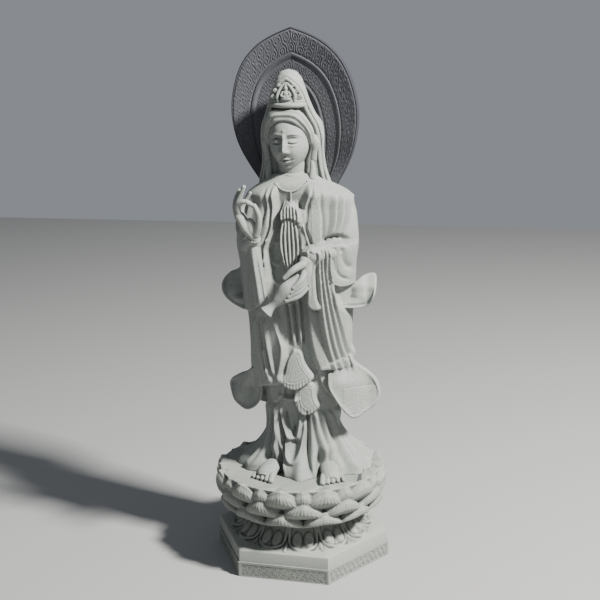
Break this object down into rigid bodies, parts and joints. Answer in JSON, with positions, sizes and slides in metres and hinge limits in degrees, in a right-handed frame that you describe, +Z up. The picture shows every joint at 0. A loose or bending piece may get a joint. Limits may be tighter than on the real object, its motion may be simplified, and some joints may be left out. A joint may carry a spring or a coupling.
{
  "type": "guanyin statue",
  "caption": "Carved grey granite Guanyin standing on a lotus seat and a hexagonal plinth, with a leaf-shaped halo slab behind the head.",
  "frame": {"origin": "centre of the plinth's underside, on the ground", "axes": "+Z up; the statue faces -Y; +X to the right of someone who faces the statue"},
  "size_m": [0.58, 0.568, 1.6878],
  "materials": {
    "figure_granite": "carved, fine grain",
    "halo_granite": "carved, weathered",
    "lotus_seat_granite": "carved, fine grain",
    "plinth_granite": "carved, fine grain"
  },
  "bodies": {
    "root": {"figure": "figure_granite", "halo": "halo_granite", "lotus_seat": "lotus_seat_granite", "plinth": "plinth_granite"}
  },
  "joints": []
}
